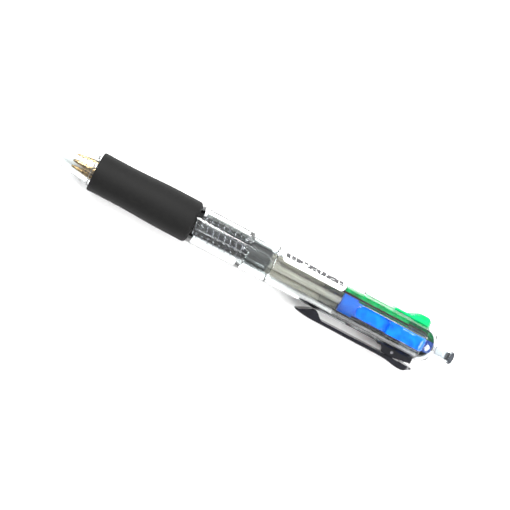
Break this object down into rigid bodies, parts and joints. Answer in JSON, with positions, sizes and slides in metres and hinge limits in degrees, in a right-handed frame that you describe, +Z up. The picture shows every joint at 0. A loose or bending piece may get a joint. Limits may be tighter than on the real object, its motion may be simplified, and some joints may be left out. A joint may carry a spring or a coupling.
{
  "type": "multicolour click pen",
  "caption": "Clear-barrelled click pen with a rubber grip: a thumb slider for each ink colour pushes its refill out of the nose, and one slider carries a sprung clip.",
  "frame": {"origin": "centre of the bounding box in X and Y, on the table that the pen lies on", "axes": "+X runs along the pen, from the nose to the crown, within about one degree (the pen's own axis climbs 1.01 degrees to the crown). +Z is up from the table. The clip lies towards -Y, 13 degrees below level."},
  "size_m": [0.147, 0.0198, 0.0173],
  "materials": {
    "clear_plastic": "clear, polished",
    "grip_rubber": "soft matt",
    "seat_plastic": "natural white",
    "smoke_plastic": "smoke grey, polished",
    "sticker": "coated white",
    "spring_steel": "drawn wire",
    "brass_tip": "turned",
    "refill_tube": "cloudy, extruded",
    "black_plastic": "moulded, gloss",
    "blue_plastic": "tinted clear, gloss",
    "green_plastic": "tinted clear, gloss",
    "red_plastic": "tinted clear, gloss",
    "black_ink": "liquid",
    "blue_ink": "liquid",
    "green_ink": "liquid",
    "red_ink": "liquid"
  },
  "bodies": {
    "pen_barrel": {"front_barrel": "clear_plastic", "rubber_grip": "grip_rubber", "rear_barrel": "clear_plastic", "crown": "clear_plastic", "crown_plug": "smoke_plastic", "slider_core": "clear_plastic", "refill_guide": "clear_plastic", "spring_seat": "seat_plastic", "label": "sticker", "price_label": "sticker", "return_spring_black": "spring_steel", "return_spring_blue": "spring_steel", "return_spring_green": "spring_steel", "return_spring_red": "spring_steel"},
    "press_black": {"slider_black": "black_plastic", "refill_tube_rear_black": "refill_tube", "ink_rear_black": "black_ink", "clip_pin": "spring_steel", "clip_spring": "spring_steel"},
    "refill_black": {"refill_tube_front_black": "refill_tube", "ink_front_black": "black_ink", "refill_tip_black": "brass_tip"},
    "press_blue": {"slider_blue": "blue_plastic", "refill_tube_rear_blue": "refill_tube", "ink_rear_blue": "blue_ink"},
    "refill_blue": {"refill_tube_front_blue": "refill_tube", "ink_front_blue": "blue_ink", "refill_tip_blue": "brass_tip"},
    "press_green": {"slider_green": "green_plastic", "refill_tube_rear_green": "refill_tube", "ink_rear_green": "green_ink"},
    "refill_green": {"refill_tube_front_green": "refill_tube", "ink_front_green": "green_ink", "refill_tip_green": "brass_tip"},
    "press_red": {"slider_red": "red_plastic", "refill_tube_rear_red": "refill_tube", "ink_rear_red": "red_ink"},
    "refill_red": {"refill_tube_front_red": "refill_tube", "ink_front_red": "red_ink", "refill_tip_red": "brass_tip"},
    "clip_arm": {"clip": "black_plastic"}
  },
  "joints": [
    {"name": "black_slide", "type": "slide", "parent": "pen_barrel", "child": "press_black", "axis": [-0.9998, 0, -0.0175], "range_m": [0, 0.01], "stiffness_N_per_m": 60, "springref_m": -0.008, "deforming": ["return_spring_black", "refill_tube_front_black", "ink_front_black"]},
    {"name": "blue_slide", "type": "slide", "parent": "pen_barrel", "child": "press_blue", "axis": [-0.9998, 0, -0.0175], "range_m": [0, 0.01], "stiffness_N_per_m": 60, "springref_m": -0.008, "deforming": ["return_spring_blue", "refill_tube_front_blue", "ink_front_blue", "refill_tip_blue"]},
    {"name": "green_slide", "type": "slide", "parent": "pen_barrel", "child": "press_green", "axis": [-0.9998, 0, -0.0175], "range_m": [0, 0.01], "stiffness_N_per_m": 60, "springref_m": -0.008, "deforming": ["return_spring_green", "refill_tube_front_green", "ink_front_green", "refill_tip_green"]},
    {"name": "red_slide", "type": "slide", "parent": "pen_barrel", "child": "press_red", "axis": [-0.9998, 0, -0.0175], "range_m": [0, 0.01], "stiffness_N_per_m": 60, "springref_m": -0.008, "deforming": ["return_spring_red", "refill_tube_front_red", "ink_front_red", "refill_tip_red"]},
    {"name": "black_flex", "type": "hinge", "parent": "press_black", "child": "refill_black", "pos_m": [-0.03443, -0.00122, 0.00648], "axis": [0.017, 0.225, -0.9742], "range_deg": [0, 4.1]},
    {"name": "blue_flex", "type": "hinge", "parent": "press_blue", "child": "refill_blue", "pos_m": [-0.03449, 0.00066, 0.00948], "axis": [0.0039, -0.9744, -0.2249], "range_deg": [0, 4.1]},
    {"name": "green_flex", "type": "hinge", "parent": "press_green", "child": "refill_green", "pos_m": [-0.03445, 0.00366, 0.0076], "axis": [-0.017, -0.225, 0.9742], "range_deg": [0, 4.1]},
    {"name": "red_flex", "type": "hinge", "parent": "press_red", "child": "refill_red", "pos_m": [-0.0344, 0.00178, 0.00461], "axis": [-0.0039, 0.9744, 0.2249], "range_deg": [0, 4.1]},
    {"name": "clip_hinge", "type": "hinge", "parent": "press_black", "child": "clip_arm", "pos_m": [0.05437, -0.00575, 0.00699], "axis": [-0.017, -0.225, 0.9742], "range_deg": [0, 5], "stiffness_Nm_per_rad": 0.15, "springref_deg": -18.91, "deforming": ["clip_spring"]}
  ],
  "couplings": [
    {"joint": "black_flex", "follows": "black_slide", "rad_per_m": 7.124},
    {"joint": "blue_flex", "follows": "blue_slide", "rad_per_m": 7.124},
    {"joint": "green_flex", "follows": "green_slide", "rad_per_m": 7.124},
    {"joint": "red_flex", "follows": "red_slide", "rad_per_m": 7.124}
  ]
}
